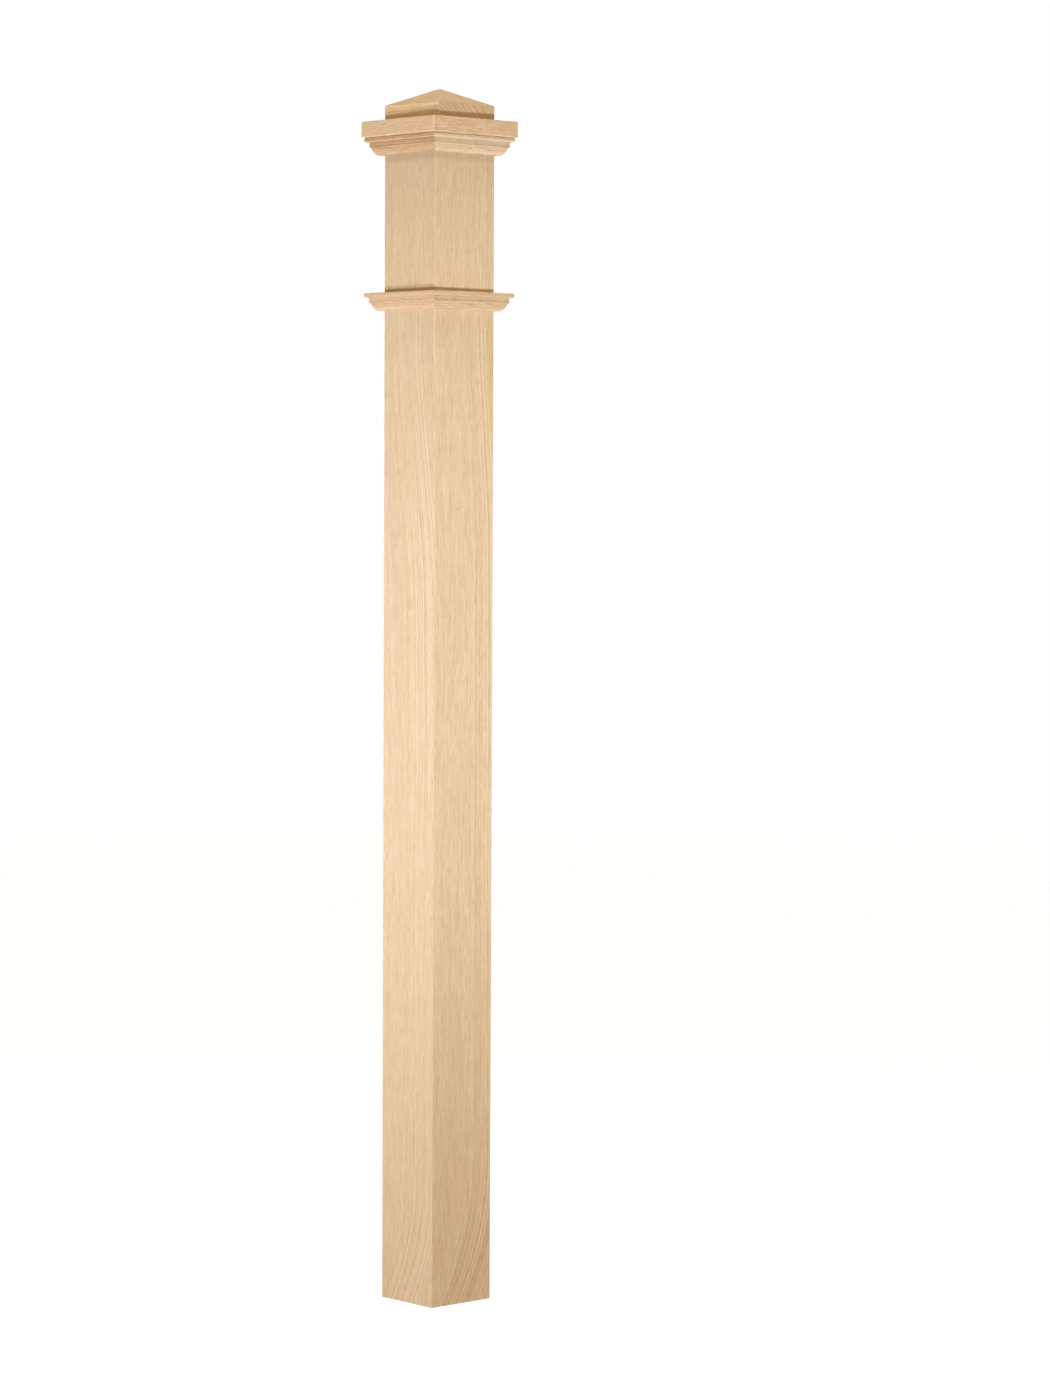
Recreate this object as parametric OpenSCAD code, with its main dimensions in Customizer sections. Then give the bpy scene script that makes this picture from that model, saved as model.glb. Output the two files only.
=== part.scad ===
// Box newel post: four mitred oak boards round a square hollow, a neck moulding,
// a crown moulding, a square cap plate and a low pyramid block on top.
// Millimetres, +Z up. The origin is the centre of the foot, on the floor.

/* [Shaft] */
// Side of the square shaft, outside its boards
shaft_side = 88.9; // [70:0.1:120]
// Height of the boards, from the foot to the underside of the cap plate
board_h = 1341; // [600:1:1700]
// Thickness of each board
board_t = 17.5; // [10:0.5:25]
// Radius that eases the four upright arrises of the shaft
shaft_ease = 1.2; // [0.4:0.1:4]

/* [Mouldings] */
// How far the nose of a moulding stands out from the shaft
moulding_proj = 16.8; // [15:0.1:24]
// Height of a moulding
moulding_h = 20.3; // [19:0.1:30]
// Height of the nose at the top of a moulding
nose_h = 5.4; // [4:0.1:6.5]
// Radius of the nose's upper arris
nose_top_r = 1.4; // [0.5:0.1:2]
// Radius of the nose's lower arris
nose_low_r = 2; // [0.5:0.1:2]
// How far the upright fillet under the nose stands out from the shaft
fillet_proj = 12.7; // [10:0.1:13]
// Height of the upright fillet
fillet_h = 5.9; // [4:0.1:6.5]
// Width of the small hollow below the fillet
hollow_r = 1.9; // [1:0.1:2.5]
// How far the toe of the moulding stands out from the shaft
toe_proj = 5.6; // [4:0.1:7]
// How far the round below the hollow bulges from a straight line
round_bulge = 0.7; // [0.2:0.1:1]
// Drop from the underside of the cap plate to the top of the neck moulding
neck_drop = 177.8; // [60:0.1:400]

/* [Cap plate] */
// How far the plate stands out past the nose of the crown moulding
plate_reveal = 2.75; // [0.5:0.05:12]
// Thickness of the plate
plate_t = 18.3; // [12:0.1:30]
// Radius that eases all the arrises of the plate
plate_ease = 1.5; // [0.5:0.1:4]

/* [Cap block] */
// Side of the square block
block_side = 89; // [60:0.5:110]
// Height of the block's upright edge
block_edge_h = 18; // [8:0.5:30]
// Rise of the four slopes from the edge to the point
block_rise = 19.7; // [8:0.1:40]
// Radius that eases the block's upright arrises
block_ease = 0.8; // [0.3:0.1:3]
// How far the block is turned from square with the plate, in degrees
block_turn = 3; // [-5:0.5:5]

/* [Hidden] */

// Turns about the post that bring a piece made for the front, at -Y, to each side
FRONT = 0;
RIGHT = 90;
BACK = 180;
LEFT = 270;

$fn = 48;
ARC_STEPS = 6;
// Extra length on a solid that another one trims to size
OVER = 10;

half_shaft = shaft_side / 2;
neck_top = board_h - neck_drop;
crown_top = board_h;
plate_side = shaft_side + 2 * (moulding_proj + plate_reveal);
plate_top = board_h + plate_t;

// Points along an arc about a centre, from one angle to another
function arc(centre, r, from, to) =
    [for (i = [0:ARC_STEPS])
        let (a = from + (to - from) * i / ARC_STEPS)
        centre + r * [cos(a), sin(a)]];

// Points along an arc between two points that bulges by a given height,
// to the left of the way from the first point to the second
function bulged(a, b, bulge) =
    let (chord = norm(b - a),
         r = (chord * chord / 4 + bulge * bulge) / (2 * bulge),
         along = (b - a) / chord,
         left = [-along[1], along[0]],
         centre = (a + b) / 2 + left * (bulge - r),
         way = atan2(left[1], left[0]),
         spread = asin(chord / 2 / r))
    arc(centre, r, way + spread, way - spread);

// Section of a moulding: [distance out from the shaft, height below its top],
// with the height negative downwards. It runs from the shaft, over the nose,
// down the fillet and the hollow, round to the toe and back to the shaft.
function moulding_section() =
    let (nose = moulding_proj,
         fillet_low = -(nose_h + fillet_h),
         round_start = [fillet_proj - hollow_r, fillet_low - hollow_r],
         toe = [toe_proj, -moulding_h])
    concat(
        [[0, 0]],
        arc([nose - nose_top_r, -nose_top_r], nose_top_r, 90, 0),
        arc([nose - nose_low_r, nose_low_r - nose_h], nose_low_r, 0, -90),
        [[fillet_proj, -nose_h]],
        arc([fillet_proj, fillet_low - hollow_r], hollow_r, 90, 180),
        bulged(round_start, toe, round_bulge),
        [[0, -moulding_h]]);

// A rectangle with round corners, centred on the origin
module eased_rectangle(width, depth, r) {
    square([width, depth - 2 * r], center = true);
    square([width - 2 * r, depth], center = true);
    for (x = [-1, 1], y = [-1, 1])
        translate([x * (width / 2 - r), y * (depth / 2 - r)]) circle(r);
}

// Lays a section drawn in Y and Z along the X axis, centred on it
module along_x(length) {
    rotate([90, 0, 90]) linear_extrude(length, center = true) children();
}

// Plan of one side's share of a square ring, cut on the mitres at both ends
module mitred_side(inner_half, outer_half) {
    polygon([[-inner_half, -inner_half], [inner_half, -inner_half],
             [outer_half, -outer_half], [-outer_half, -outer_half]]);
}

// One of the four boards of the shaft
module board(side) {
    rotate(side) intersection() {
        linear_extrude(board_h) mitred_side(half_shaft - board_t, half_shaft);
        translate([0, 0, -OVER]) linear_extrude(board_h + 2 * OVER)
            eased_rectangle(shaft_side, shaft_side, shaft_ease);
    }
}

// One of the four lengths of a moulding that runs round the shaft below a height
module moulding(side, top) {
    outer = half_shaft + moulding_proj + OVER;
    rotate(side) intersection() {
        translate([0, 0, top]) along_x(2 * outer)
            polygon([for (point = moulding_section())
                [-(half_shaft + point[0]), point[1]]]);
        translate([0, 0, top - moulding_h - OVER])
            linear_extrude(moulding_h + 2 * OVER) mitred_side(half_shaft, outer);
    }
}

// The flat square plate that closes the top of the shaft
module cap_plate() {
    length = plate_side + 2 * OVER;
    color("#D9B78E") translate([0, 0, board_h + plate_t / 2]) intersection() {
        linear_extrude(plate_t + OVER, center = true)
            eased_rectangle(plate_side, plate_side, plate_ease);
        for_both_ways() along_x(length)
            eased_rectangle(plate_side, plate_t, plate_ease);
    }
}

// What both a shape and the same shape turned a quarter round have in common
module for_both_ways() {
    intersection() {
        children();
        rotate(90) children();
    }
}

// The low pyramid block that sits on the plate, a little out of square
module cap_block() {
    height = block_edge_h + block_rise;
    half = block_side / 2;
    gable = [[-half, 0], [half, 0], [half, block_edge_h],
             [0, height], [-half, block_edge_h]];
    color("#DDBB93") translate([0, 0, plate_top]) rotate(block_turn) intersection() {
        linear_extrude(height + OVER)
            eased_rectangle(block_side, block_side, block_ease);
        for_both_ways() along_x(block_side + OVER) polygon(gable);
    }
}

module front_board() { color("#E6C8A0") board(FRONT); }
module right_board() { color("#E0BF95") board(RIGHT); }
module back_board() { color("#E3C49B") board(BACK); }
module left_board() { color("#DEBC92") board(LEFT); }
module neck_moulding_front() { color("#DDB996") moulding(FRONT, neck_top); }
module neck_moulding_right() { color("#D8B486") moulding(RIGHT, neck_top); }
module neck_moulding_back() { color("#DAB88C") moulding(BACK, neck_top); }
module neck_moulding_left() { color("#DBB78F") moulding(LEFT, neck_top); }
module crown_moulding_front() { color("#CFA279") moulding(FRONT, crown_top); }
module crown_moulding_right() { color("#D8B589") moulding(RIGHT, crown_top); }
module crown_moulding_back() { color("#D6B084") moulding(BACK, crown_top); }
module crown_moulding_left() { color("#D3AB80") moulding(LEFT, crown_top); }

front_board();
right_board();
back_board();
left_board();
neck_moulding_front();
neck_moulding_right();
neck_moulding_back();
neck_moulding_left();
crown_moulding_front();
crown_moulding_right();
crown_moulding_back();
crown_moulding_left();
cap_plate();
cap_block();
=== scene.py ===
"""A box newel post in bare red oak, built in full round its packed construction model.

All lengths are in metres, in the frame of the construction model: +Z runs up the post from the
centre of its foot, -Y looks out of the front board and +X out of the right board.
"""

import logging
from contextlib import contextmanager
from dataclasses import dataclass, field, replace
from enum import Enum
from math import asin, atan2, cos, hypot, pi, radians, sin
from typing import Callable, Iterator, Union

import bpy
from mathutils import Matrix, Vector


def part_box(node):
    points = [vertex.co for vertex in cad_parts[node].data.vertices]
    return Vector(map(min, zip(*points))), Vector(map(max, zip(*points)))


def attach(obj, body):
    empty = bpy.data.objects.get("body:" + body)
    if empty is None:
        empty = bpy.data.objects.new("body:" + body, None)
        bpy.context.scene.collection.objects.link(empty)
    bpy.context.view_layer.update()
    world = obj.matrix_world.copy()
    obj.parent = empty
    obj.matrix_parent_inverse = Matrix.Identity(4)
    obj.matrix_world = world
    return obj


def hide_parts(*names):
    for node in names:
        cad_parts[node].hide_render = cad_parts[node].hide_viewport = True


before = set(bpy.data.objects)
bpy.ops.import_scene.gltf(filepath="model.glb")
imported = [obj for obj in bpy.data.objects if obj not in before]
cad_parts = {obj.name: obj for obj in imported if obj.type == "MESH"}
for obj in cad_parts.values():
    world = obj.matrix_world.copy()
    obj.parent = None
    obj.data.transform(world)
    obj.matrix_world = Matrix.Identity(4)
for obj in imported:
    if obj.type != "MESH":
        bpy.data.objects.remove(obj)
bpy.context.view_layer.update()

MM = 0.001
BODY = "root"
CUT_TOLERANCE = 1e-6
NEAR = 0.01 * MM
MITRE = 45.0

Span = tuple[float, float]
Colour = tuple[float, float, float]
Owner = Union[bpy.types.Material, bpy.types.World]

WHITE: Colour = (1.0, 1.0, 1.0)

log = logging.getLogger("newel")


class Side(Enum):
    """A side of the post, by the turn in degrees that brings a piece there from the front."""

    FRONT = 0
    RIGHT = 90
    BACK = 180
    LEFT = 270

    @property
    def word(self) -> str:
        """The side's name, as it stands in the names of pieces."""
        return self.name.lower()


class Grain(Enum):
    """The axis that the grain of a piece runs along, with the turn that lays it on Z."""

    UPRIGHT = (0.0, 0.0, 0.0)
    ALONG_X = (0.0, -90.0, 0.0)
    ALONG_Y = (90.0, 0.0, 0.0)

    @property
    def axis(self) -> int:
        """The number of that axis: 0 for X, 1 for Y and 2 for Z."""
        return {Grain.ALONG_X: 0, Grain.ALONG_Y: 1, Grain.UPRIGHT: 2}[self]


def away(azimuth: float, distance: float, height: float = 0.0) -> Vector:
    """A place round the post's axis, at an azimuth of 0 degrees in front and 90 on the right."""
    turn = radians(azimuth)
    return Vector((sin(turn) * distance, -cos(turn) * distance, height))


def middle_height(node: str) -> float:
    """The height of the middle of a construction node."""
    low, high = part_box(node)
    return (low.z + high.z) / 2


def opaque(colour: Colour) -> tuple[float, float, float, float]:
    """A colour with the full alpha that a colour socket wants."""
    return (*colour, 1.0)


# ---- Shader graphs ----

# The Mix node's sockets for colours, and what each layer of a noise keeps of the last's strength.
MIX_SHARE, MIX_FIRST, MIX_SECOND, MIX_RESULT = 0, 6, 7, 2
NOISE_KEEP = 0.55


class Shade:
    """A value that varies over a surface, as a socket that Python can reckon with."""

    def __init__(self, graph: "Graph", socket: bpy.types.NodeSocket) -> None:
        """Wraps an output socket of a graph."""
        self.graph = graph
        self.socket = socket

    def _math(self, operation: str, *values: "Term") -> "Shade":
        """What a Math node makes of the values with that operation."""
        return self.graph.node("ShaderNodeMath", {"operation": operation}, dict(enumerate(values)))

    def __add__(self, other: "Term") -> "Shade":
        """This plus another."""
        return self._math("ADD", self, other)

    __radd__ = __add__

    def __sub__(self, other: "Term") -> "Shade":
        """This less another."""
        return self._math("SUBTRACT", self, other)

    def __rsub__(self, other: "Term") -> "Shade":
        """Another less this."""
        return self._math("SUBTRACT", other, self)

    def __mul__(self, other: "Term") -> "Shade":
        """This times another."""
        return self._math("MULTIPLY", self, other)

    __rmul__ = __mul__

    def __truediv__(self, other: "Term") -> "Shade":
        """This over another."""
        return self._math("DIVIDE", self, other)

    def __rtruediv__(self, other: "Term") -> "Shade":
        """Another over this."""
        return self._math("DIVIDE", other, self)

    def __abs__(self) -> "Shade":
        """This without its sign."""
        return self._math("ABSOLUTE", self)

    def over(self, floor: "Term") -> "Shade":
        """The larger of this and a floor."""
        return self._math("MAXIMUM", self, floor)

    def under(self, ceiling: "Term") -> "Shade":
        """The smaller of this and a ceiling."""
        return self._math("MINIMUM", self, ceiling)

    def whole(self) -> "Shade":
        """The whole number below this."""
        return self._math("FLOOR", self)

    def part(self) -> "Shade":
        """What is left of this above its whole number."""
        return self._math("FRACT", self)

    def root(self) -> "Shade":
        """The square root of this."""
        return self._math("SQRT", self)

    def bearing(self, ahead: "Term") -> "Shade":
        """The angle in radians that this and a distance ahead stand for."""
        return self._math("ARCTAN2", self, ahead)

    def ramp(self, start: float, end: float) -> "Shade":
        """A smooth rise from 0 at one value of this to 1 at another.

        Args:
            start: Where the result is 0.
            end: Where the result is 1. It may lie below start, for a fall.

        Returns:
            The rise, held at 0 and 1 past its ends.
        """
        return self.graph.node(
            "ShaderNodeMapRange",
            {"interpolation_type": "SMOOTHSTEP"},
            {"Value": self, "From Min": start, "From Max": end},
        )


Term = Union[Shade, float]


@dataclass(frozen=True)
class Cells:
    """The size of a noise.

    Attributes:
        count: Cells to the metre along each axis.
        detail: How many finer layers are added.
    """

    count: tuple[float, float, float]
    detail: float = 2.0


class Graph:
    """The node graph of a material or of the room."""

    def __init__(self, owner: Owner) -> None:
        """Starts with an empty graph.

        Args:
            owner: The material or world that the graph belongs to.
        """
        owner.use_nodes = True
        self.owner = owner
        self.tree = owner.node_tree
        self.tree.nodes.clear()

    def node(
        self,
        kind: str,
        settings: dict[str, object] | None = None,
        inputs: dict[str | int, object] | None = None,
        output: str | int = 0,
    ) -> Shade:
        """Adds a node.

        Args:
            kind: The node's type.
            settings: The node's own properties, which are set first.
            inputs: Values or links of its sockets, by name or number.
            output: The socket to hand back, by name or number.

        Returns:
            That output, wrapped.
        """
        made = self.tree.nodes.new(kind)
        for name, value in (settings or {}).items():
            setattr(made, name, value)
        for name, value in (inputs or {}).items():
            if isinstance(value, Shade):
                self.tree.links.new(value.socket, made.inputs[name])
            else:
                made.inputs[name].default_value = value
        if not made.outputs:
            return Shade(self, made.inputs[0])
        return Shade(self, made.outputs[output])

    def vector(self, operation: str, first: Shade, second: object) -> Shade:
        """What a Vector Math node makes of two vectors with that operation."""
        return self.node("ShaderNodeVectorMath", {"operation": operation}, {0: first, 1: second})

    def noise(self, place: Shade, cells: Cells) -> Shade:
        """Smooth noise from about 0 to 1, in cells of that size."""
        counted = self.vector("MULTIPLY", place, cells.count)
        return self.node(
            "ShaderNodeTexNoise",
            {"noise_dimensions": "3D", "normalize": True},
            {"Vector": counted, "Scale": 1.0, "Detail": cells.detail, "Roughness": NOISE_KEEP},
        )

    def swing(self, place: Shade, cells: Cells) -> Shade:
        """Smooth noise that lies about 0."""
        return self.noise(place, cells) - 0.5

    def mix(self, share: Term, first: object, second: object, blend: str = "MIX") -> Shade:
        """A colour between two others.

        Args:
            share: How much of the second shows.
            first: The colour at a share of 0.
            second: The colour at a share of 1.
            blend: How the second goes on the first.

        Returns:
            The mixed colour.
        """
        first, second = (
            colour if isinstance(colour, Shade) else opaque(colour) for colour in (first, second)
        )
        return self.node(
            "ShaderNodeMix",
            {"data_type": "RGBA", "blend_type": blend},
            {MIX_SHARE: share, MIX_FIRST: first, MIX_SECOND: second},
            MIX_RESULT,
        )


# ---- Oak ----

FIBRES = Cells((230.0, 230.0, 20.0), 3.0)
FLECKS = Cells((400.0, 400.0, 48.0))
CLOUDS = Cells((20.0, 20.0, 2.2))
PORES = Cells((1100.0, 1100.0, 75.0), 1.0)
STRAYS = Cells((2.5, 2.5, 2.2))
WOBBLES = Cells((40.0, 40.0, 9.0))
RAYS = Cells((70.0, 1500.0, 110.0), 1.0)

# Where pores and rays show on their noises, end grain on how square a face is to the grain, and
# a mark on the way out from its middle: from not at all to in full.
PORE_EDGE: Span = (0.55, 0.66)
RAY_EDGE: Span = (0.58, 0.7)
END_EDGE: Span = (0.45, 0.95)
MARK_EDGE: Span = (1.0, 0.1)

# Where early and late wood lie in a year's ring, what each comes to on the whole, the least
# that a poor year has of early wood, and how often and how far the rings change width.
EARLY_RISE: Span = (0.0, 0.1)
EARLY_FALL: Span = (0.65, 0.25)
EARLY_LEAST = 0.4
EARLY_MEAN = 0.28
LATE_RISE: Span = (0.6, 0.8)
LATE_FALL: Span = (1.0, 0.92)
LATE_MEAN = 0.26
WIDTH_PACE = 0.33
WIDTH_SWING = 2.2

# How far two noises carry the lines, as shares of the wander, and how strongly the lines show
# everywhere, and what bold ones add.
STRAY_REACH = 3.0
WOBBLE_REACH = 0.45
PLAIN = 0.15
BOLD = 0.6

# Heights between which the lines gain and lose strength in the upper half, and painted shade
# darkens the wood towards the foot and the head, for light that falls off away from mid-height,
# and the share of the foot's bend where its lines are strongest.
UPPER_RISE: Span = (0.5, 0.75)
UPPER_FALL: Span = (1.2, 1.05)
FOOT_SHADE: Span = (0.6, 0.0)
HEAD_SHADE: Span = (0.85, 1.3)
FOOT_FULL = 0.4

# What the wood outside the early wood has of pores, how far rays cover the wood, how wide they
# fan out, and how far a seed of 1 moves a piece in its noises.
PORES_OUTSIDE = 0.25
RAY_COVER = 0.4
RAY_FAN = 0.25
SEED_SHIFT = (1.37, 2.11, 0.83)


@dataclass(frozen=True)
class Mark:
    """A pin knot, a stain, or a band of painted shade on a board.

    Attributes:
        across: Where it lies across the board.
        along: Where it lies along the board.
        width: Half its width.
        length: Half its length along the grain.
        depth: How dark it is, from 0 to 1.
    """

    across: float
    along: float
    width: float
    length: float
    depth: float

    def shade(self, across: Shade, along: Shade) -> Shade:
        """How dark the mark is at a place.

        Args:
            across: The place across the board.
            along: The place along the board.

        Returns:
            Its depth in the middle, falling to 0 at its edge.
        """
        aside = (across - self.across) / self.width
        onward = (along - self.along) / self.length
        return (aside * aside + onward * onward).ramp(*MARK_EDGE) * self.depth


@dataclass(frozen=True)
class Grown:
    """What the growth of the tree gives a place in the wood.

    Attributes:
        early: How much more open early wood there is than on the whole.
        late: How much more dense late wood there is than on the whole.
        tone: A tone of its own for each ring, about 0.
        rays: How much ray tissue there is.
    """

    early: Shade
    late: Shade
    tone: Shade
    rays: Shade


@dataclass(frozen=True)
class Figure:
    """How one piece was cut out of its log, which sets the lines on its faces.

    Across and deep are measured on the front of the post, and so is every piece, once it has
    been turned round to the front and its grain stood on Z.

    Attributes:
        grain: The axis that the grain runs along.
        facing: The side of the post that the piece stands on.
        middle: Height of the place that across, deep and along are measured from.
        pith: Where the heart of the log lies, across and deep.
        ring: Width of a year's growth.
        lean: How far the lines move across for each metre along.
        foot_bend: Height below which the lines curve aside, and how sharply they do.
        head_bend: The heights between which the lines step aside, and how far they do.
        emphasis: How much more strongly the lines show at the foot and in the upper half.
        bold: Where across the board the lines start to come out, are strongest, start to fade
            and have faded.
        wander: How far the lines stray from straight.
        painted_end_shade: How much painted shade darkens the foot and the head against the middle.
        marks: Its knots and stains, and painted shade.
        seed: Moves the piece to its own part of every noise.
    """

    grain: Grain = Grain.UPRIGHT
    facing: Side = Side.FRONT
    middle: float = 0.0
    pith: Span = (0.05, 0.2)
    ring: float = 3.6 * MM
    lean: float = 0.0
    foot_bend: Span = (0.0, 0.0)
    head_bend: tuple[float, float, float] = (0.9, 1.2, 0.0)
    emphasis: Span = (0.0, 0.0)
    bold: tuple[float, float, float, float] = (-60 * MM, -20 * MM, 20 * MM, 60 * MM)
    wander: float = 4 * MM
    painted_end_shade: Span = (0.0, 0.0)
    marks: tuple[Mark, ...] = ()
    seed: float = 0.0

    def laid(self, graph: Graph) -> Shade:
        """Turns the piece round to the front and stands its grain on Z.

        Args:
            graph: The material's graph.

        Returns:
            The coordinates across, deep and along.
        """
        here = graph.node("ShaderNodeTexCoord", output="Object")
        level = graph.vector("SUBTRACT", here, (0.0, 0.0, self.middle))
        faced = self._faced(graph, level, "POINT")
        turn = tuple(radians(angle) for angle in self.grain.value)
        return graph.node("ShaderNodeMapping", {}, {"Vector": faced, "Rotation": turn})

    def _faced(self, graph: Graph, arrow: Shade, kind: str) -> Shade:
        """Turns a place or a direction, as the kind says, round to the front."""
        turn = (0.0, 0.0, radians(-self.facing.value))
        return graph.node(
            "ShaderNodeMapping", {"vector_type": kind}, {"Vector": arrow, "Rotation": turn}
        )

    def growth(self, graph: Graph, own: Shade, axes: tuple[Shade, ...]) -> Grown:
        """Works out the growth rings and the rays.

        Args:
            graph: The material's graph.
            own: The piece's own coordinates for noise.
            axes: Across, deep and along.

        Returns:
            What there is of each kind of wood.
        """
        across, deep, along = axes
        stray = graph.swing(own, STRAYS) * STRAY_REACH
        wobble = graph.swing(own, WOBBLES) * WOBBLE_REACH
        foot, sharpness = self.foot_bend
        start, end, step = self.head_bend
        below = (foot - along).over(0.0)
        place = across - along * self.lean + below * below * sharpness
        drawn = place + (stray + wobble) * self.wander
        place = drawn + along.ramp(start, end) * step
        rise, full, fade, gone = self.bold
        strength = drawn.ramp(rise, full) * drawn.ramp(gone, fade) * BOLD + PLAIN
        low, high = self.emphasis
        lower = along.ramp(foot, foot * FOOT_FULL)
        upper = along.ramp(*UPPER_RISE) * along.ramp(*UPPER_FALL)
        strength = strength * (1 + lower * low + upper * high)

        aside = place - self.pith[0]
        sunk = deep - self.pith[1]
        reach = (aside * aside + sunk * sunk).root()
        count = reach / self.ring
        one_way = {"noise_dimensions": "1D"}
        band = graph.node("ShaderNodeTexNoise", one_way, {"W": count * WIDTH_PACE + self.seed})
        count = count + (band - 0.5) * WIDTH_SWING
        tone = graph.node("ShaderNodeTexWhiteNoise", one_way, {"W": count.whole()})
        year = count.part()
        plenty = tone * (1 - EARLY_LEAST) + EARLY_LEAST
        early = year.ramp(*EARLY_RISE) * year.ramp(*EARLY_FALL) * plenty
        late = year.ramp(*LATE_RISE) * year.ramp(*LATE_FALL)

        round_heart = aside.bearing(sunk) * RAY_FAN
        fan = graph.node("ShaderNodeCombineXYZ", {}, {0: reach, 1: round_heart, 2: along})
        return Grown(
            early=(early - EARLY_MEAN) * strength,
            late=(late - LATE_MEAN) * strength,
            tone=tone - 0.5,
            rays=graph.noise(fan, RAYS).ramp(*RAY_EDGE),
        )

    def painted_shade_at_ends(self, along: Shade) -> Shade:
        """How much painted shade darkens a board towards its foot and its head."""
        foot, head = self.painted_end_shade
        return along.ramp(*FOOT_SHADE) * foot + along.ramp(*HEAD_SHADE) * head

    def end_grain(self, graph: Graph) -> Shade:
        """Finds the cut ends of the fibres.

        Args:
            graph: The material's graph.

        Returns:
            1 on a face square to the grain, and 0 on one that lies along it.
        """
        outward = graph.node("ShaderNodeTexCoord", output="Normal")
        faced = self._faced(graph, outward, "NORMAL")
        square = graph.node("ShaderNodeSeparateXYZ", {}, {0: faced}, self.grain.axis)
        return abs(square).ramp(*END_EDGE)


@dataclass(frozen=True)
class Sanding:
    """What sanding leaves of the wood's surface.

    Attributes:
        fibre: How far the fibres stand up.
        pore: How far the pores lie below.
        early: How far the early wood is worn down.
        depth: The height that a relief of 1 stands for.
        strength: How much of the relief shows.
        rough: Roughness on the whole.
        rough_pore: How much rougher the pores are.
        smooth_late: How much smoother the late wood is.
        gloss: Strength of the reflections.
    """

    fibre: float = 0.8
    pore: float = 0.5
    early: float = 0.25
    depth: float = 0.25 * MM
    strength: float = 0.35
    rough: float = 0.64
    rough_pore: float = 0.14
    smooth_late: float = 0.06
    gloss: float = 0.25

    def shader(self, colour: Shade, fibre: Shade, pores: Shade, grown: Grown) -> Shade:
        """Makes the surface.

        Args:
            colour: The wood's colour.
            fibre: How far the fibres stand above the whole.
            pores: Where there are pores.
            grown: What the growth gives the place.

        Returns:
            The surface's shader.
        """
        graph = colour.graph
        relief = fibre * self.fibre - pores * self.pore - grown.early * self.early
        height = {"Height": relief, "Strength": self.strength, "Distance": self.depth}
        surface = {
            "Base Color": colour,
            "Roughness": self.rough + pores * self.rough_pore - grown.late * self.smooth_late,
            "Normal": graph.node("ShaderNodeBump", {}, height),
            "Specular IOR Level": self.gloss,
        }
        return graph.node("ShaderNodeBsdfPrincipled", {}, surface)


@dataclass(frozen=True)
class Oak:
    """Bare, sanded red oak.

    Attributes:
        tone: Its colour on the whole.
        lift: What the palest wood is of the tone, in each colour.
        drop: What the open early wood is of the tone, in each colour.
        pit: What the bottom of a pore is of the tone, in each colour.
        line: How strongly the rings show.
        year: How far the rings differ in tone.
        cloud: How strongly broad, soft clouds show.
        streak: How strongly the fibres show.
        fleck: How strongly the short flecks show.
        pore: How strongly the pores show.
        ray: How strongly the rays show.
        end_tone: What the end grain keeps of the brightness.
        end_line: How much of the rings' strength the end grain keeps.
        sanding: Its surface.
    """

    tone: Colour = (0.66, 0.53, 0.37)
    lift: Colour = (1.11, 1.15, 1.22)
    drop: Colour = (0.89, 0.85, 0.78)
    pit: Colour = (0.5, 0.4, 0.3)
    line: float = 0.3
    year: float = 0.12
    cloud: float = 0.2
    streak: float = 0.95
    fleck: float = 1.1
    pore: float = 0.5
    ray: float = 0.3
    end_tone: float = 0.9
    end_line: float = 1.0
    sanding: Sanding = Sanding()

    def _toned(self, share: Colour) -> Colour:
        """The tone with each of its colours multiplied by its own share."""
        return tuple(part * times for part, times in zip(self.tone, share))

    def material(self, name: str, figure: Figure) -> bpy.types.Material:
        """Makes the material of one piece.

        Args:
            name: The material's name.
            figure: How the piece was cut.

        Returns:
            The material.
        """
        graph = Graph(bpy.data.materials.new(name))
        laid = figure.laid(graph)
        own = graph.vector("ADD", laid, tuple(figure.seed * step for step in SEED_SHIFT))
        axes = tuple(graph.node("ShaderNodeSeparateXYZ", {}, {0: laid}, part) for part in range(3))
        across, _, along = axes

        grown = figure.growth(graph, own, axes)
        end = figure.end_grain(graph)
        fibre = graph.swing(own, FIBRES)
        pores = graph.noise(own, PORES).ramp(*PORE_EDGE)
        open_wood = (grown.early + EARLY_MEAN).over(0.0)
        pores = pores * (open_wood * (1 - PORES_OUTSIDE) + PORES_OUTSIDE)

        depth = 0.5 - fibre * self.streak - graph.swing(own, FLECKS) * self.fleck
        depth = depth + graph.swing(own, CLOUDS) * self.cloud
        rings = (grown.early - grown.late) * self.line + grown.tone * self.year
        depth = depth + rings * (1 - end * (1 - self.end_line))
        depth = depth.over(0.0).under(1.0)
        colour = graph.mix(depth, self._toned(self.lift), self._toned(self.drop))
        # Painted shade towards the foot and the head, for light that falls off away from
        # mid-height.
        painted_shade_tint = tuple(low / high for low, high in zip(self.drop, self.lift))
        colour = graph.mix(figure.painted_shade_at_ends(along), colour, painted_shade_tint, "MULTIPLY")
        colour = graph.mix(pores * self.pore, colour, self._toned(self.pit))
        colour = graph.mix(grown.rays * self.ray * RAY_COVER, colour, self._toned(self.lift))
        # Knots and stains, and the painted shade under the crown.
        for mark in figure.marks:
            colour = graph.mix(mark.shade(across, along), colour, self._toned(self.pit))
        bright = 1 - end * (1 - self.end_tone)
        grey = graph.node("ShaderNodeCombineColor", {}, {0: bright, 1: bright, 2: bright})
        colour = graph.mix(1.0, colour, grey, "MULTIPLY")

        shader = self.sanding.shader(colour, fibre, pores, grown)
        graph.node("ShaderNodeOutputMaterial", {}, {"Surface": shader})
        return graph.owner


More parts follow.
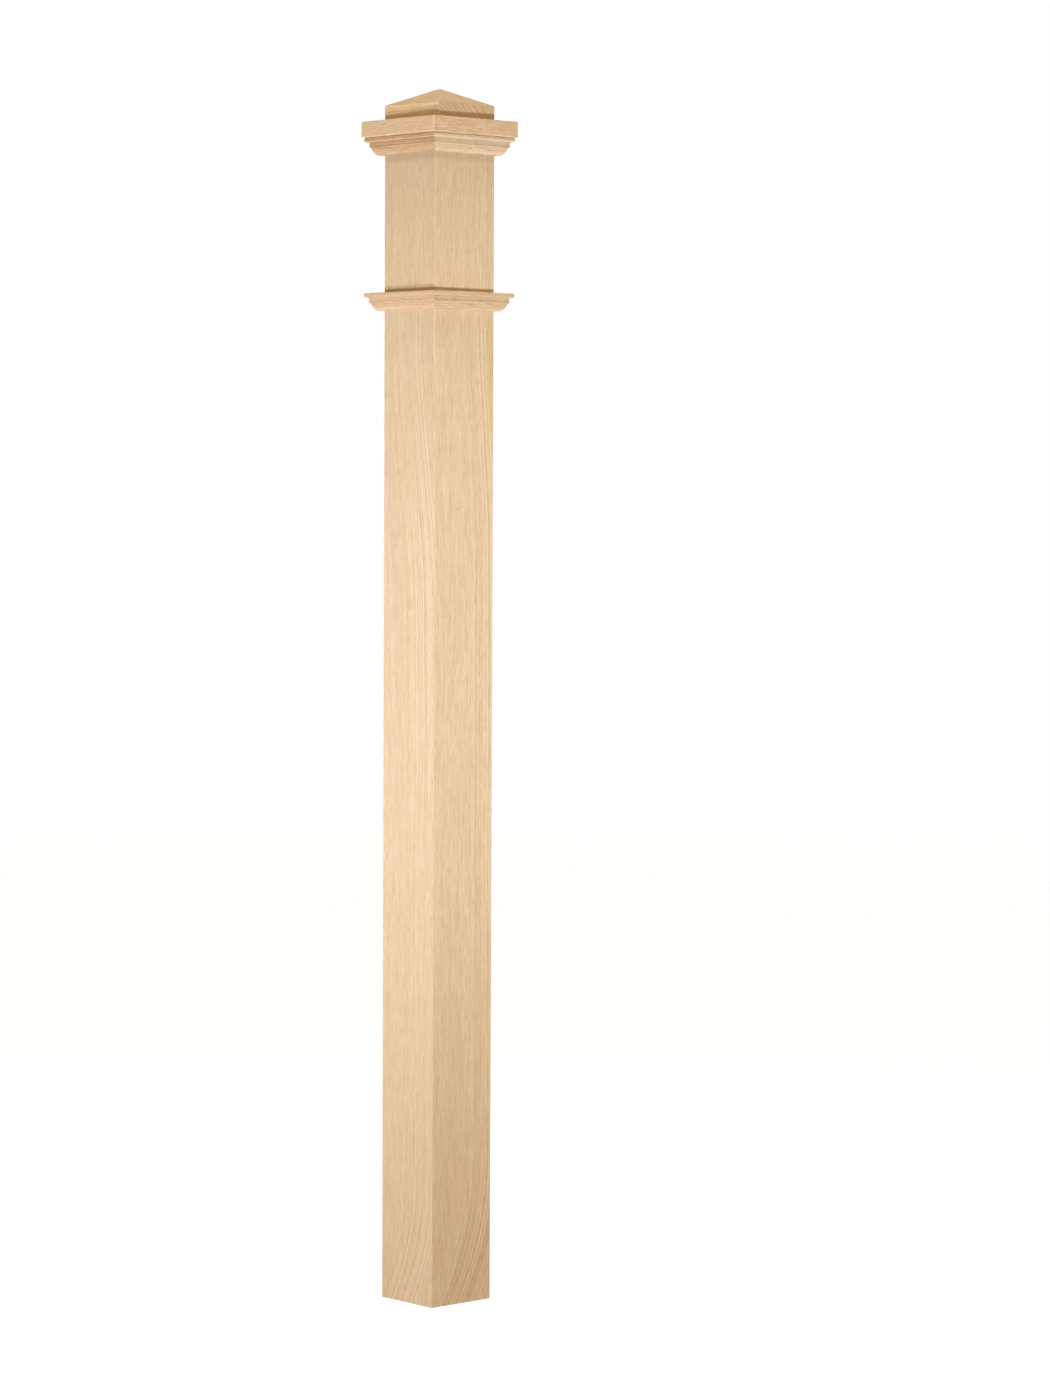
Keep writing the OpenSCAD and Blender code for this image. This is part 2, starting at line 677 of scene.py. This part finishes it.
MOULDING_OAK = Oak(line=0.9, pore=0.9)
NECK_OAKS = {
    Side.FRONT: Oak(tone=(0.597, 0.446, 0.31), line=0.9, pore=0.9),
    Side.RIGHT: Oak(tone=(0.63, 0.495, 0.335), line=1.0, pore=0.9),
}
CROWN_OAKS = {
    Side.FRONT: Oak(tone=(0.503, 0.348, 0.209), line=0.9, pore=0.9),
    Side.RIGHT: Oak(tone=(0.64, 0.53, 0.39), line=1.0, pore=0.9),
}


# ---- The bench ----


class Blank:
    """A piece of stock on the bench, one mesh that is cut and shaped."""

    def __init__(self, name: str, piece: bpy.types.Object) -> None:
        """Takes up an object.

        Args:
            name: The name for it and its mesh.
            piece: The object.
        """
        self.piece = piece
        piece.name = name
        piece.data.name = name

    @staticmethod
    def sawn(name: str, low: Vector, high: Vector) -> "Blank":
        """Starts a piece as a rectangular block.

        Args:
            name: The piece's name.
            low: Its lowest corner.
            high: Its highest corner.

        Returns:
            The piece.
        """
        bpy.ops.object.select_all(action="DESELECT")
        bpy.ops.mesh.primitive_cube_add(size=1, location=(low + high) / 2, scale=high - low)
        blank = Blank(name, bpy.context.object)
        blank._settle()
        return blank

    def _hold(self) -> None:
        """Selects this piece alone and makes it active."""
        bpy.ops.object.select_all(action="DESELECT")
        self.piece.select_set(True)
        bpy.context.view_layer.objects.active = self.piece

    def _settle(self) -> None:
        """Puts the piece's place, turn and scale into its mesh."""
        self._hold()
        bpy.ops.object.transform_apply(location=True, rotation=True, scale=True)

    @contextmanager
    def _editing(self, vertices: bool = False, edges: bool = False) -> Iterator[None]:
        """Works in edit mode, on faces if on nothing else.

        Args:
            vertices: Whether it works on vertices.
            edges: Whether it works on edges.
        """
        self._hold()
        faces = not (vertices or edges)
        bpy.context.tool_settings.mesh_select_mode = (vertices, edges, faces)
        bpy.ops.object.mode_set(mode="EDIT")
        yield
        bpy.ops.object.mode_set(mode="OBJECT")

    def _select(self, items: str, wanted: Callable[[Vector], bool]) -> None:
        """Selects vertices, edges or faces by the place of their middle.

        Args:
            items: The name of the mesh's collection.
            wanted: Says whether an item with that middle is wanted.
        """
        mesh = self.piece.data
        for group in (mesh.vertices, mesh.edges, mesh.polygons):
            group.foreach_set("select", [False] * len(group))
        for item in getattr(mesh, items):
            corners = [mesh.vertices[i].co for i in getattr(item, "vertices", [item.index])]
            if wanted(sum(corners, Vector()) / len(corners)):
                item.select = True
                for i in getattr(item, "vertices", []):
                    mesh.vertices[i].select = True

    def cut(self, point: Vector, outward: Vector) -> "Blank":
        """Cuts off what lies beyond a plane and closes the cut.

        Args:
            point: A point on the plane.
            outward: The way to what falls off.

        Returns:
            This piece.
        """
        with self._editing():
            bpy.ops.mesh.select_all(action="SELECT")
            bpy.ops.mesh.bisect(
                plane_co=point,
                plane_no=outward,
                use_fill=True,
                clear_outer=True,
                threshold=CUT_TOLERANCE,
            )
        return self

    def ease(self, width: float, steps: int = 3, limit: float = 30.0) -> "Blank":
        """Rounds every arris sharper than a limit.

        Args:
            width: How far the round reaches in from the arris.
            steps: Facets across the round.
            limit: The angle in degrees past which an edge is an arris.

        Returns:
            This piece.
        """
        self._hold()
        bevel = self.piece.modifiers.new("ease", "BEVEL")
        bevel.width = width
        bevel.segments = steps
        bevel.limit_method = "ANGLE"
        bevel.angle_limit = radians(limit)
        bevel.use_clamp_overlap = True
        bpy.ops.object.modifier_apply(modifier=bevel.name)
        return self

    def smooth(self, limit: float = 25.0) -> "Blank":
        """Rounds the shading over shallow edges, and keeps wide faces flat.

        Args:
            limit: The angle in degrees up to which an edge is shallow.

        Returns:
            This piece.
        """
        self._hold()
        bpy.ops.object.shade_smooth_by_angle(angle=radians(limit))
        weigh = self.piece.modifiers.new("weigh", "WEIGHTED_NORMAL")
        weigh.mode = "FACE_AREA"
        weigh.keep_sharp = True
        bpy.ops.object.modifier_apply(modifier=weigh.name)
        return self

    def turn(self, degrees: float) -> "Blank":
        """Turns the piece about the post's axis.

        Args:
            degrees: How far it turns.

        Returns:
            This piece.
        """
        self.piece.rotation_euler.z = radians(degrees)
        self._settle()
        return self

    def copy(self, name: str) -> "Blank":
        """Makes another of this piece, with a mesh of its own.

        Args:
            name: The copy's name.

        Returns:
            The copy.
        """
        self._hold()
        bpy.ops.object.duplicate()
        return Blank(name, bpy.context.object)

    def hand_over(self, node: str, slot: str, material: bpy.types.Material) -> None:
        """Dresses the piece and puts it in the place of its construction node.

        Args:
            node: The node that it stands for.
            slot: The record's material slot; not used.
            material: Its finish.
        """
        self.piece.data.materials.clear()
        self.piece.data.materials.append(material)
        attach(self.piece, BODY)
        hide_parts(node)
        log.info("%s: %d faces", self.piece.name, len(self.piece.data.polygons))


# ---- The shaft ----


@dataclass
class Shaft:
    """Four upright boards, mitred together round a square hollow.

    Attributes:
        arris: Radius of the shaft's upright corners.
        arris_cuts: Flats that make up each board's share of a corner's round.
        glue_line: Gap between two boards at their mitre.
    """

    arris: float = 0.3 * MM
    arris_cuts: int = 3
    glue_line: float = 0.01 * MM

    def build(self) -> None:
        """Builds and dresses the four boards."""
        board = self._front_board()
        for side, figure, oak in self._cuts():
            name = f"{side.word}_board"
            piece = board if side is Side.FRONT else board.copy(f"{name}_oak")
            piece.turn(side.value).smooth()
            piece.hand_over(name, "shaft_oak", oak.material(f"{name}_grain", figure))

    def _front_board(self) -> Blank:
        """Saws and mitres the front board.

        Returns:
            The board, with its share of the corners' rounds.
        """
        low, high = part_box("front_board")
        half = -low.y
        near, far = Vector((-half, low.y, low.z)), Vector((half, high.y, high.z))
        board = Blank.sawn("front_board_oak", near, far)
        centre = half - self.arris
        for hand in (-1, 1):
            inset = Vector((-hand * self.glue_line / 2, 0.0, 0.0))
            board.cut(inset, Vector((hand, 1.0, 0.0)))
            for step in range(self.arris_cuts):
                angle = radians(MITRE) * (step + 0.5) / self.arris_cuts
                outward = Vector((hand * sin(angle), -cos(angle), 0.0))
                board.cut(Vector((hand * centre, -centre, 0.0)) + outward * self.arris, outward)
        return board

    def _cuts(self) -> list[tuple[Side, Figure, Oak]]:
        """Settles how the boards look.

        Returns:
            Each board's side, how it was cut from its log, and its colouring.
        """
        under_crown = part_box("crown_moulding_front")[0].z
        # Painted shade: a soft band that darkens the boards just under the crown, where its shadow
        # falls.
        painted_shade_under_crown = Mark(across=0.0, along=under_crown, width=0.2, length=11 * MM, depth=0.3)
        front_pin = Mark(across=-18 * MM, along=0.958, width=1.1 * MM, length=1.6 * MM, depth=0.75)
        right_pin = Mark(across=-9 * MM, along=0.916, width=0.9 * MM, length=1.4 * MM, depth=0.7)
        stain = Mark(across=3 * MM, along=0.808, width=8 * MM, length=11 * MM, depth=0.16)
        front = Figure(
            pith=(-0.2, 0.12),
            ring=3.3 * MM,
            foot_bend=(0.15, 1.7),
            head_bend=(0.8, 1.12, 32 * MM),
            emphasis=(2.2, 1.4),
            bold=(6 * MM, 22 * MM, 44 * MM, 60 * MM),
            # Painted shade towards the foot and the head.
            painted_end_shade=(0.35, 0.22),
            marks=(front_pin, stain, painted_shade_under_crown),
        )
        right = Figure(
            facing=Side.RIGHT,
            pith=(-0.2, 0.1),
            ring=3.1 * MM,
            foot_bend=(0.16, 1.8),
            head_bend=(0.86, 1.16, 18 * MM),
            emphasis=(3.8, 1.1),
            bold=(4 * MM, 20 * MM, 56 * MM, 76 * MM),
            # Painted shade towards the foot and the head.
            painted_end_shade=(0.5, 0.12),
            marks=(right_pin, painted_shade_under_crown),
            seed=3.0,
        )
        back = Figure(
            facing=Side.BACK,
            pith=(0.17, 0.12),
            ring=3.3 * MM,
            lean=0.02,
            emphasis=(1.5, 1.2),
            marks=(painted_shade_under_crown,),
            seed=7.0,
        )
        left = replace(
            back, facing=Side.LEFT, pith=(-0.05, 0.16), ring=3.6 * MM, lean=-0.015, seed=11.0
        )
        return [
            (Side.FRONT, front, Oak(tone=(0.631, 0.513, 0.375), streak=0.85, fleck=1.0)),
            (Side.RIGHT, right, Oak(tone=(0.716, 0.584, 0.419))),
            (Side.BACK, back, Oak()),
            (Side.LEFT, left, Oak()),
        ]


# ---- Mouldings ----


@dataclass
class Moulding:
    """A band of four mitred lengths round the shaft, run from one cutter.

    Distances out are from the face of the shaft, and drops are from the top of the moulding.

    Attributes:
        band: The start of its nodes' names.
        nose_drop: Height of the nose.
        nose_ease: Radii of the nose's upper and lower arris.
        fillet_out: How far the fillet under the nose stands out.
        fillet_drop: Drop to the lower edge of the fillet.
        hollow: Radius of the hollow below the fillet.
        toe_out: How far the toe stands out.
        bulge: Height of the round below the hollow over a straight line.
        glue_line: Gap between two lengths at their mitre.
        arc_steps: Chords along each small arc.
        bulge_steps: Chords along the round below the hollow.
        pith: Where the heart of the front length's log lies.
        pith_step: How far the heart moves from one length to the next.
        seed: Where the front length lies in the noises.
        seed_step: How far one length lies from the next in them.
        oaks: Each side's colouring.
    """

    band: str
    nose_drop: float = 5.4 * MM
    nose_ease: Span = (1.4 * MM, 2.0 * MM)
    fillet_out: float = 12.7 * MM
    fillet_drop: float = 11.3 * MM
    hollow: float = 1.9 * MM
    toe_out: float = 5.6 * MM
    bulge: float = 0.7 * MM
    glue_line: float = 0.02 * MM
    arc_steps: int = 8
    bulge_steps: int = 12
    pith: Span = (0.15, 0.22)
    pith_step: Span = (0.03, -0.05)
    seed: float = 20.0
    seed_step: float = 5.0
    oaks: dict[Side, Oak] = field(default_factory=dict)

    def build(self) -> None:
        """Builds and dresses the four lengths."""
        length = self._front_length()
        for number, side in enumerate(Side):
            name = f"{self.band}_{side.word}"
            piece = length if side is Side.FRONT else length.copy(f"{name}_oak")
            piece.turn(side.value).smooth(limit=20.0)
            figure = Figure(
                grain=Grain.ALONG_X,
                facing=side,
                middle=middle_height(name),
                pith=tuple(at + by * number for at, by in zip(self.pith, self.pith_step)),
                ring=1.9 * MM,
                wander=1.5 * MM,
                seed=self.seed + self.seed_step * number + len(self.band),
            )
            oak = self.oaks.get(side, MOULDING_OAK)
            piece.hand_over(name, "moulding_oak", oak.material(f"{name}_grain", figure))

    def _section(self, out: float, drop: float) -> list[Span]:
        """The moulded edge, from the top of the nose to the toe.

        Args:
            out: How far the nose stands out.
            drop: Height of the moulding.

        Returns:
            Points as distance out and height above the moulding's top.
        """
        upper, lower = self.nose_ease
        steps = self.arc_steps
        level = -self.fillet_drop - self.hollow
        points = self._arc((out - upper, -upper), upper, pi / 2, 0.0, steps)
        points += self._arc((out - lower, lower - self.nose_drop), lower, 0.0, -pi / 2, steps)
        points.append((self.fillet_out, -self.nose_drop))
        points += self._arc((self.fillet_out, level), self.hollow, pi / 2, pi, steps)
        start = (self.fillet_out - self.hollow, level)
        return points + self._bulged(start, (self.toe_out, -drop))[1:]

    @staticmethod
    def _arc(centre: Span, radius: float, start: float, end: float, steps: int) -> list[Span]:
        """Points along an arc, in a number of chords from one angle to another."""
        angles = [start + (end - start) * i / steps for i in range(steps + 1)]
        return [(centre[0] + radius * cos(a), centre[1] + radius * sin(a)) for a in angles]

    def _bulged(self, first: Span, last: Span) -> list[Span]:
        """Points along the round between two points, which bulges outwards.

        Args:
            first: Its upper end.
            last: Its lower end.

        Returns:
            The points.
        """
        run = (last[0] - first[0], last[1] - first[1])
        chord = hypot(*run)
        radius = (chord**2 / 4 + self.bulge**2) / (2 * self.bulge)
        outward = (-run[1] / chord, run[0] / chord)
        back = radius - self.bulge
        centre = tuple((a + b) / 2 - out * back for a, b, out in zip(first, last, outward))
        way = atan2(outward[1], outward[0])
        spread = asin(chord / 2 / radius)
        return self._arc(centre, radius, way + spread, way - spread, self.bulge_steps)

    def _front_length(self) -> Blank:
        """Draws and mitres the front length.

        Returns:
            The length, a hair short of its mitres.
        """
        low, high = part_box(f"{self.band}_front")
        face = -high.y
        tall = high.z - low.z
        section = [(0.0, 0.0), *self._section(high.y - low.y, tall), (0.0, -tall)]
        length = Drawn(f"{self.band}_front_oak", face, high.z, section)
        for hand in (-1, 1):
            length.cut(Vector((-hand * self.glue_line / 2, 0.0, 0.0)), Vector((hand, 1.0, 0.0)))
        return length


class Drawn(Blank):
    """A length of moulding, drawn down its section one edge at a time."""

    def __init__(self, name: str, face: float, top: float, section: list[Span]) -> None:
        """Draws the length along the front of the shaft.

        Args:
            name: The piece's name.
            face: Distance of the shaft's face from the post's axis.
            top: Height of the moulding's top.
            section: Points of the closed section, as distance out and height above the top.
        """
        bpy.ops.object.select_all(action="DESELECT")
        bpy.ops.mesh.primitive_plane_add(size=2 * face, location=(0.0, 0.0, top))
        super().__init__(name, bpy.context.object)
        self._settle()
        self._select("vertices", lambda place: place.y > 0)
        with self._editing(vertices=True):
            bpy.ops.mesh.delete(type="VERT")
        self._select("edges", lambda place: True)
        with self._editing(edges=True):
            for (out, height), (next_out, next_height) in zip(section, section[1:]):
                self._draw_edge(Vector((0.0, out - next_out, next_height - height)))
                wider = (face + next_out) / (face + out)
                bpy.ops.transform.resize(value=(wider, 1.0, 1.0), center_override=(0.0, 0.0, 0.0))
        self._close(-face)

    @staticmethod
    def _draw_edge(step: Vector) -> None:
        """Draws the selected edge out by a step, which leaves a face behind it."""
        bpy.ops.mesh.extrude_region_move(TRANSFORM_OT_translate={"value": step})

    def _close(self, back: float) -> None:
        """Closes the back and the two ends.

        Args:
            back: Where the back lies, along Y.
        """
        self._select("edges", lambda place: abs(place.y - back) < NEAR and abs(place.x) < NEAR)
        with self._editing(edges=True):
            bpy.ops.mesh.edge_face_add()
            bpy.ops.mesh.select_all(action="SELECT")
            bpy.ops.mesh.fill_holes(sides=0)
            bpy.ops.mesh.select_all(action="SELECT")
            bpy.ops.mesh.normals_make_consistent(inside=False)


# ---- The cap ----


@dataclass
class Cap:
    """The flat plate over the shaft, and the low pyramid block on it.

    Attributes:
        plate_ease: How far the plate's arrises are rounded.
        block_side: Side of the block.
        block_edge: Height of its upright edge.
        block_turn: How far it is turned from square with the plate, in degrees.
        block_ease: How far its arrises are rounded.
    """

    plate_ease: float = 1.5 * MM
    block_side: float = 89 * MM
    block_edge: float = 18 * MM
    block_turn: float = 3.0
    block_ease: float = 0.7 * MM

    def build(self) -> None:
        """Builds and dresses both pieces."""
        self._build_plate()
        self._build_block()

    def _build_plate(self) -> None:
        """The plate: one board, its grain running from front to back."""
        plate = Blank.sawn("cap_plate_oak", *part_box("cap_plate"))
        plate.ease(self.plate_ease, steps=5).smooth()
        figure = Figure(
            grain=Grain.ALONG_Y,
            middle=middle_height("cap_plate"),
            pith=(0.02, 0.25),
            ring=3.6 * MM,
            wander=1.5 * MM,
            seed=31.0,
        )
        oak = Oak(
            tone=(0.67, 0.514, 0.358),
            line=0.9,
            streak=1.15,
            fleck=1.4,
            pore=0.95,
            ray=0.6,
            end_tone=0.93,
            end_line=0.4,
        )
        plate.hand_over("cap_plate", "plate_oak", oak.material("cap_plate_grain", figure))

    def _build_block(self) -> None:
        """The block: four slopes cut to a point, its grain running from side to side."""
        low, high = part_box("cap_block")
        half = self.block_side / 2
        near, far = Vector((-half, -half, low.z)), Vector((half, half, high.z))
        block = Blank.sawn("cap_block_oak", near, far)
        peak = Vector((0.0, 0.0, high.z))
        rise = high.z - low.z - self.block_edge
        for side in Side:
            block.cut(peak, away(side.value, 1.0) * rise + Vector((0.0, 0.0, half)))
        block.ease(self.block_ease, limit=15.0).smooth(limit=12.0).turn(self.block_turn)
        figure = Figure(
            grain=Grain.ALONG_X,
            middle=middle_height("cap_block"),
            pith=(0.12, -0.1),
            ring=2.8 * MM,
            wander=2 * MM,
            seed=37.0,
        )
        oak = Oak(tone=(0.632, 0.49, 0.33), line=0.9)
        block.hand_over("cap_block", "block_oak", oak.material("cap_block_grain", figure))


# ---- The studio ----


@dataclass(frozen=True)
class Lamp:
    """A square soft box that faces the post.

    Attributes:
        name: The light's name.
        azimuth: Which way it stands from the post, in degrees.
        distance: How far it stands from the post's axis.
        height: How high its middle is.
        power: Its power in watts.
        size: Its side.
        aim: Height of what it faces on the post's axis, its own if it has none.
        tint: Its colour.
    """

    name: str
    azimuth: float
    distance: float
    height: float
    power: float
    size: float
    aim: float | None = None
    tint: Colour = WHITE

    def stand(self) -> None:
        """Puts the lamp in its place."""
        place = away(self.azimuth, self.distance, self.height)
        bpy.ops.object.light_add(type="AREA", location=place)
        lamp = bpy.context.object
        lamp.name = self.name
        lamp.data.shape = "SQUARE"
        lamp.data.size = self.size
        lamp.data.energy = self.power
        lamp.data.color = self.tint
        target = Vector((0.0, 0.0, self.height if self.aim is None else self.aim))
        lamp.rotation_euler = (target - place).to_track_quat("-Z", "Y").to_euler()
        lamp.visible_camera = False


@dataclass
class Studio:
    """A pale floor in a white room, the lamps and the camera.

    Attributes:
        fill: Brightness of the room's light.
        fill_tint: Its colour.
        floor_reach: Radius of the floor.
        floor_sides: Sides that make up its round.
        floor_gap: How far it lies under the foot, to keep the two apart.
        floor_fade: Where the floor starts to melt into the room, and where it has.
        floor_tone: Colour of the floor.
        floor_rough: Roughness of the floor.
        floor_gloss: Strength of the floor's reflections.
        floor_glow: How much light the floor gives of its own.
        azimuth: Which way the camera stands from the post, in degrees.
        distance: How far it stands from the post's axis, on the level.
        height: How high it is.
        dip: How far it looks down, in degrees.
        roll: How far it leans, in degrees.
        aside: How far it looks aside from the post's axis, in degrees.
        lens: Its focal length in millimetres.
        film: The long side of its picture in millimetres.
        sight: How far it sees.
    """

    fill: float = 0.4
    fill_tint: Colour = (1.0, 0.7, 0.38)
    floor_reach: float = 12.0
    floor_sides: int = 96
    floor_gap: float = 0.2 * MM
    floor_fade: Span = (2.5, 9.0)
    floor_tone: Colour = (0.2, 0.2, 0.198)
    floor_rough: float = 0.9
    floor_gloss: float = 0.1
    floor_glow: float = 0.93
    azimuth: float = 49.19
    distance: float = 4.7444
    height: float = 0.9299
    dip: float = 2.823
    roll: float = 0.252
    aside: float = -1.216
    lens: float = 105.79
    film: float = 36.0
    sight: float = 60.0

    def build(self) -> None:
        """Sets up the room, the floor, the lamps and the camera."""
        self._room()
        self._floor()
        for lamp in self._lamps():
            lamp.stand()
        self._camera()

    def _lamps(self) -> list[Lamp]:
        """Chooses the lamps.

        Returns:
            Those in front, one overhead, and those behind.
        """
        key = {"distance": 1.45, "size": 0.16}
        back = {"distance": 1.45, "height": 0.75, "power": 16.0, "size": 0.3}
        above = {"azimuth": 49.0, "distance": 0.35, "height": 2.4, "power": 6.6, "aim": 1.38}
        behind = {"azimuth": 229.0, "distance": 1.6, "height": 2.2, "power": 5.0, "aim": 1.2}
        return [
            Lamp("key_left", azimuth=2.0, height=0.75, power=11.8, **key),
            Lamp("key_left_low", azimuth=2.0, height=0.45, power=8.7, **key),
            Lamp("key_right", azimuth=88.0, height=0.75, power=14.3, **key),
            Lamp("overhead", size=0.5, tint=(1.0, 0.91, 0.68), **above),
            Lamp("back_left", azimuth=181.0, **back),
            Lamp("back_right", azimuth=269.0, **back),
            Lamp("back_overhead", size=0.5, **behind),
        ]

    def _room(self) -> None:
        """White all round to the eye, and a softer fill to the post."""
        world = bpy.data.worlds.new("room")
        bpy.context.scene.world = world
        graph = Graph(world)
        fill = {"Color": opaque(self.fill_tint), "Strength": self.fill}
        felt = graph.node("ShaderNodeBackground", {}, fill)
        seen = graph.node("ShaderNodeBackground", {}, {"Color": opaque(WHITE)})
        eye = graph.node("ShaderNodeLightPath", output="Is Camera Ray")
        room = graph.node("ShaderNodeMixShader", {}, {0: eye, 1: felt, 2: seen})
        graph.node("ShaderNodeOutputWorld", {}, {"Surface": room})

    def _floor(self) -> None:
        """A round pale floor that melts into the room far from the post."""
        bpy.ops.object.select_all(action="DESELECT")
        bpy.ops.mesh.primitive_circle_add(
            vertices=self.floor_sides,
            radius=self.floor_reach,
            fill_type="NGON",
            location=(0.0, 0.0, -self.floor_gap),
        )
        floor = bpy.context.object
        floor.name = "floor"
        floor.visible_diffuse = False
        floor.visible_glossy = False
        graph = Graph(bpy.data.materials.new("floor_paper"))
        here = graph.node("ShaderNodeTexCoord", output="Object")
        far = graph.node("ShaderNodeVectorMath", {"operation": "LENGTH"}, {0: here}, "Value")
        surface = {
            "Base Color": opaque(self.floor_tone),
            "Roughness": self.floor_rough,
            "Specular IOR Level": self.floor_gloss,
            "Emission Color": opaque(WHITE),
            "Emission Strength": self.floor_glow,
        }
        paper = graph.node("ShaderNodeBsdfPrincipled", {}, surface)
        clear = graph.node("ShaderNodeBsdfTransparent")
        melting = far.ramp(*self.floor_fade)
        melted = graph.node("ShaderNodeMixShader", {}, {0: melting, 1: paper, 2: clear})
        graph.node("ShaderNodeOutputMaterial", {}, {"Surface": melted})
        floor.data.materials.append(graph.owner)

    def _camera(self) -> None:
        """The camera, a little below the height of a handrail."""
        dip = radians(self.dip)
        ahead = away(self.azimuth + self.aside, -cos(dip), -sin(dip))
        level = ahead.cross(Vector((0.0, 0.0, 1.0))).normalized()
        upright = level.cross(ahead)
        lean = radians(self.roll)
        right = level * cos(lean) + upright * sin(lean)
        up = upright * cos(lean) - level * sin(lean)
        bpy.ops.object.camera_add(location=away(self.azimuth, self.distance, self.height))
        camera = bpy.context.object
        camera.name = "camera"
        camera.rotation_euler = Matrix((right, up, -ahead)).transposed().to_euler()
        camera.data.sensor_width = self.film
        camera.data.lens = self.lens
        camera.data.clip_end = self.sight
        bpy.context.scene.camera = camera


def main() -> None:
    """Builds the post, and the studio round it."""
    logging.basicConfig(level=logging.INFO, format="%(name)s: %(message)s")
    bpy.context.scene.view_settings.view_transform = "Standard"
    Shaft().build()
    Moulding("neck_moulding", oaks=NECK_OAKS).build()
    Moulding("crown_moulding", oaks=CROWN_OAKS).build()
    Cap().build()
    Studio().build()


if __name__ == "__main__":
    main()
